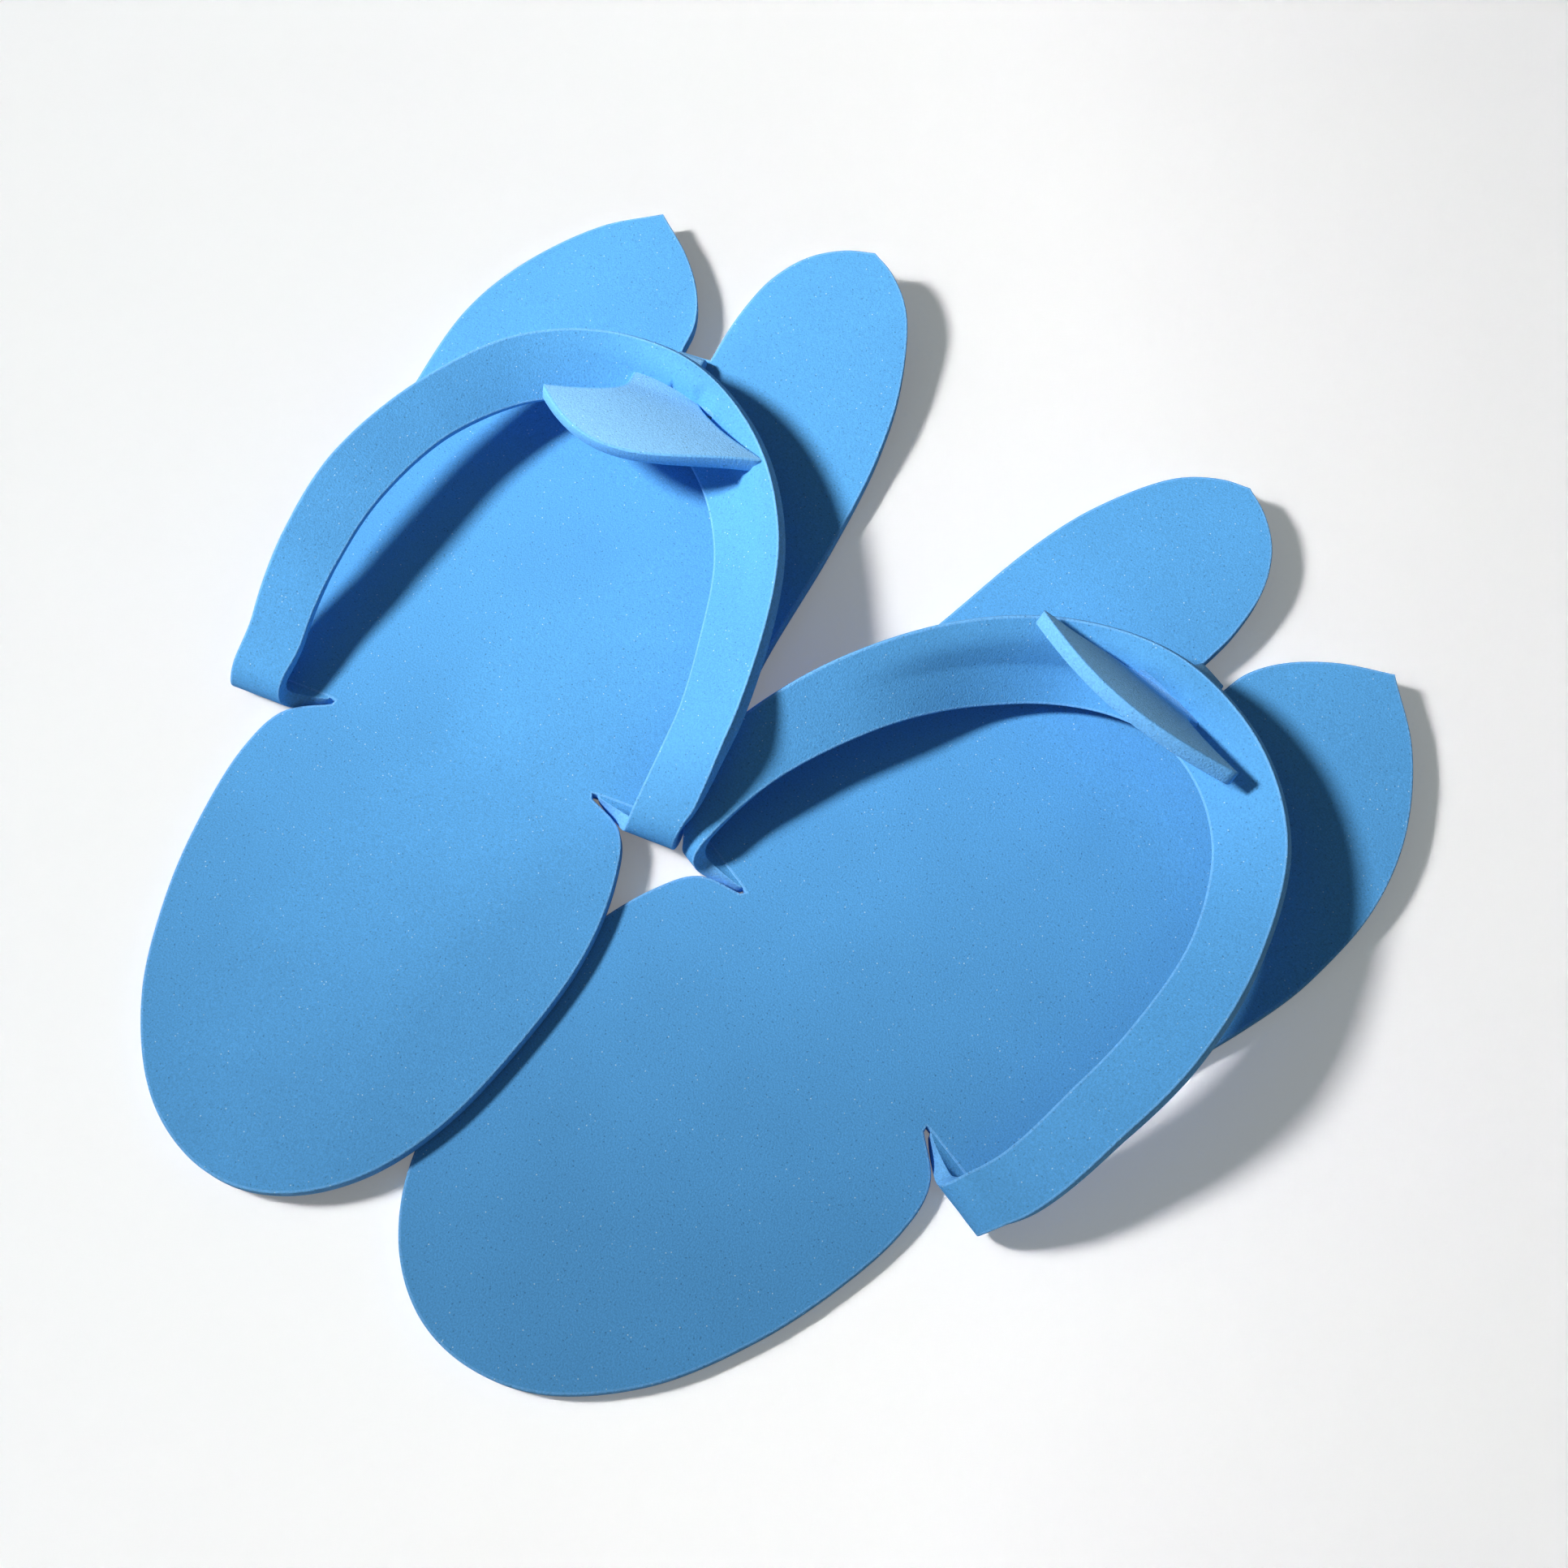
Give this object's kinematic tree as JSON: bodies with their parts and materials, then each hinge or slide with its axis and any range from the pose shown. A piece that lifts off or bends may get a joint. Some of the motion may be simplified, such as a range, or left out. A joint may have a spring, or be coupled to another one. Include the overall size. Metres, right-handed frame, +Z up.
{
  "type": "pair of flip flops",
  "caption": "Pair of one-piece flip flops cut from foam sheet: split toe lobes, a strap rolled up from two ears and a barbed tongue locked through the strap's slit.",
  "frame": {"origin": "middle of the pair's bounding box, on the table that both shoes lie on", "axes": "+Z up, +Y from the heels to the toes along the pair's middle line, +X from the left shoe to the right shoe"},
  "size_m": [0.281, 0.2904, 0.0367],
  "materials": {
    "foam": "matte closed-cell EVA foam sheet, light blue"
  },
  "bodies": {
    "right_shoe": {"right_sole": "foam"},
    "right_strap_body": {"right_strap": "foam"},
    "right_tongue_body": {"right_toe_tongue": "foam"},
    "right_tail_body": {"right_lock_tail": "foam"},
    "left_shoe": {"left_sole": "foam"},
    "left_strap_body": {"left_strap": "foam"},
    "left_tongue_body": {"left_toe_tongue": "foam"},
    "left_tail_body": {"left_lock_tail": "foam"}
  },
  "joints": [
    {"name": "left_shoe_aside", "type": "slide", "parent": "right_shoe", "child": "left_shoe", "axis": [-0.866, 0, 0.5], "range_m": [0, 0.08]},
    {"name": "right_strap_flex", "type": "hinge", "parent": "right_shoe", "child": "right_strap_body", "pos_m": [0.05314, -0.0273, 0.0019], "axis": [0.9627, -0.2706, 0], "range_deg": [0, 1], "stiffness_Nm_per_rad": 0.05},
    {"name": "right_tongue_lean", "type": "hinge", "parent": "right_shoe", "child": "right_tongue_body", "pos_m": [0.07682, 0.09464, 0.0049], "axis": [-0.9627, 0.2706, 0], "range_deg": [-0.2, 4.2]},
    {"name": "right_tail_fold", "type": "hinge", "parent": "right_tongue_body", "child": "right_tail_body", "pos_m": [0.07237, 0.07622, 0.01926], "axis": [-0.9932, 0.1167, 0], "range_deg": [0, 40], "stiffness_Nm_per_rad": 0.001},
    {"name": "left_strap_flex", "type": "hinge", "parent": "left_shoe", "child": "left_strap_body", "pos_m": [-0.05834, -0.0312, 0.0019], "axis": [0.9627, 0.2706, 0], "range_deg": [0, 1], "stiffness_Nm_per_rad": 0.05},
    {"name": "left_tongue_lean", "type": "hinge", "parent": "left_shoe", "child": "left_tongue_body", "pos_m": [-0.08202, 0.09074, 0.0049], "axis": [-0.9627, -0.2706, 0], "range_deg": [-0.2, 4.2]},
    {"name": "left_tail_fold", "type": "hinge", "parent": "left_tongue_body", "child": "left_tail_body", "pos_m": [-0.07618, 0.06921, 0.01908], "axis": [-0.9755, -0.2199, 0], "range_deg": [0, 40], "stiffness_Nm_per_rad": 0.001}
  ],
  "couplings": [
    {"joint": "right_tongue_lean", "follows": "right_strap_flex", "ratio": 3.6},
    {"joint": "left_tongue_lean", "follows": "left_strap_flex", "ratio": 3.6}
  ]
}
